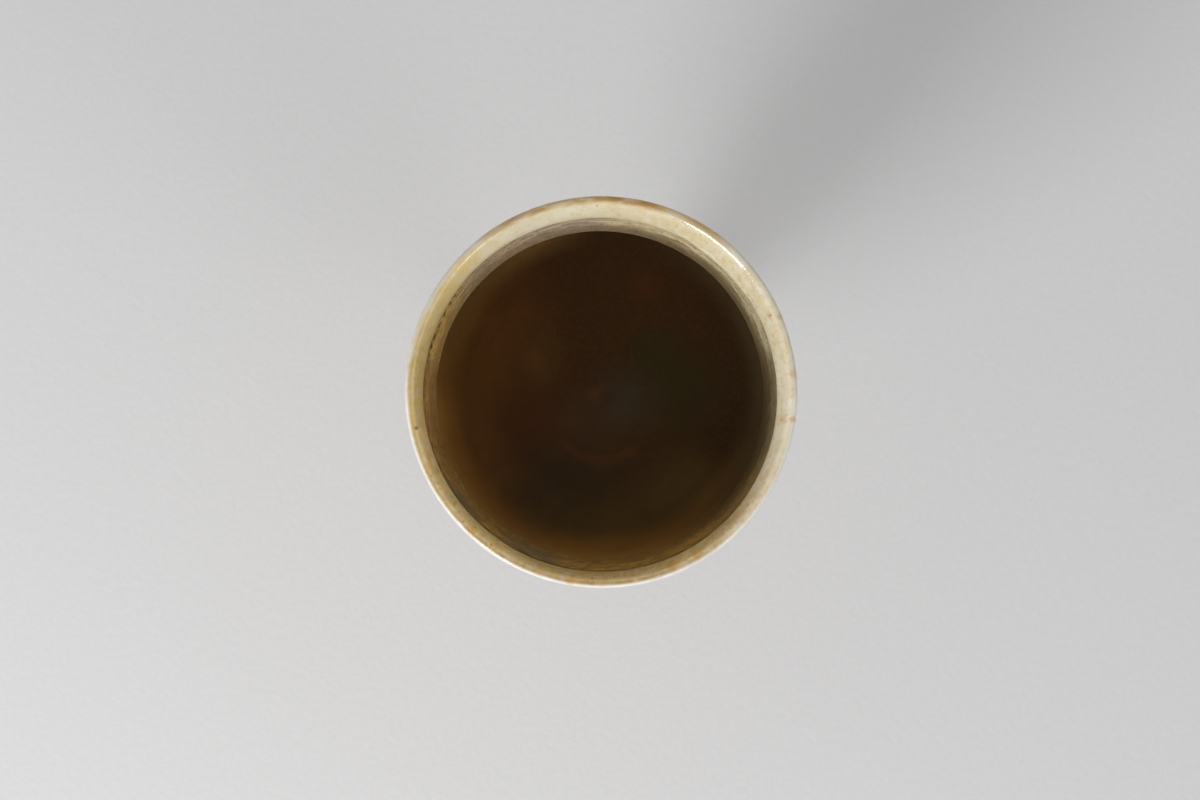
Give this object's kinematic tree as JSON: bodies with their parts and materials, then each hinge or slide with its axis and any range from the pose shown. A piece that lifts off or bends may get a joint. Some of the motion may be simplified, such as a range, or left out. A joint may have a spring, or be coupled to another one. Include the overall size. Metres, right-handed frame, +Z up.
{
  "type": "goblet",
  "caption": "Glazed stoneware goblet with a deep rounded bowl, an inward-sloping lip, a hollow knopped stem and a flared ring foot, holding a dark drink.",
  "frame": {"origin": "centre of the foot's underside, on the surface that the goblet stands on", "axes": "+Z up along the goblet's axis of turning; X and Y are level, and alike because the goblet is round"},
  "size_m": [0.084, 0.084, 0.148],
  "materials": {
    "glaze": "glossy cream to yellow-tan ash glaze over stoneware, crackled, browner where it thins",
    "joint_glaze": "the same glossy glaze, browner where it gathers over a luted joint",
    "drink": "still, glossy, very dark brown tea"
  },
  "bodies": {
    "root": {"foot": "glaze", "foot_slip": "joint_glaze", "stem": "glaze", "bowl_slip": "joint_glaze", "bowl": "glaze", "drink": "drink"}
  },
  "joints": []
}
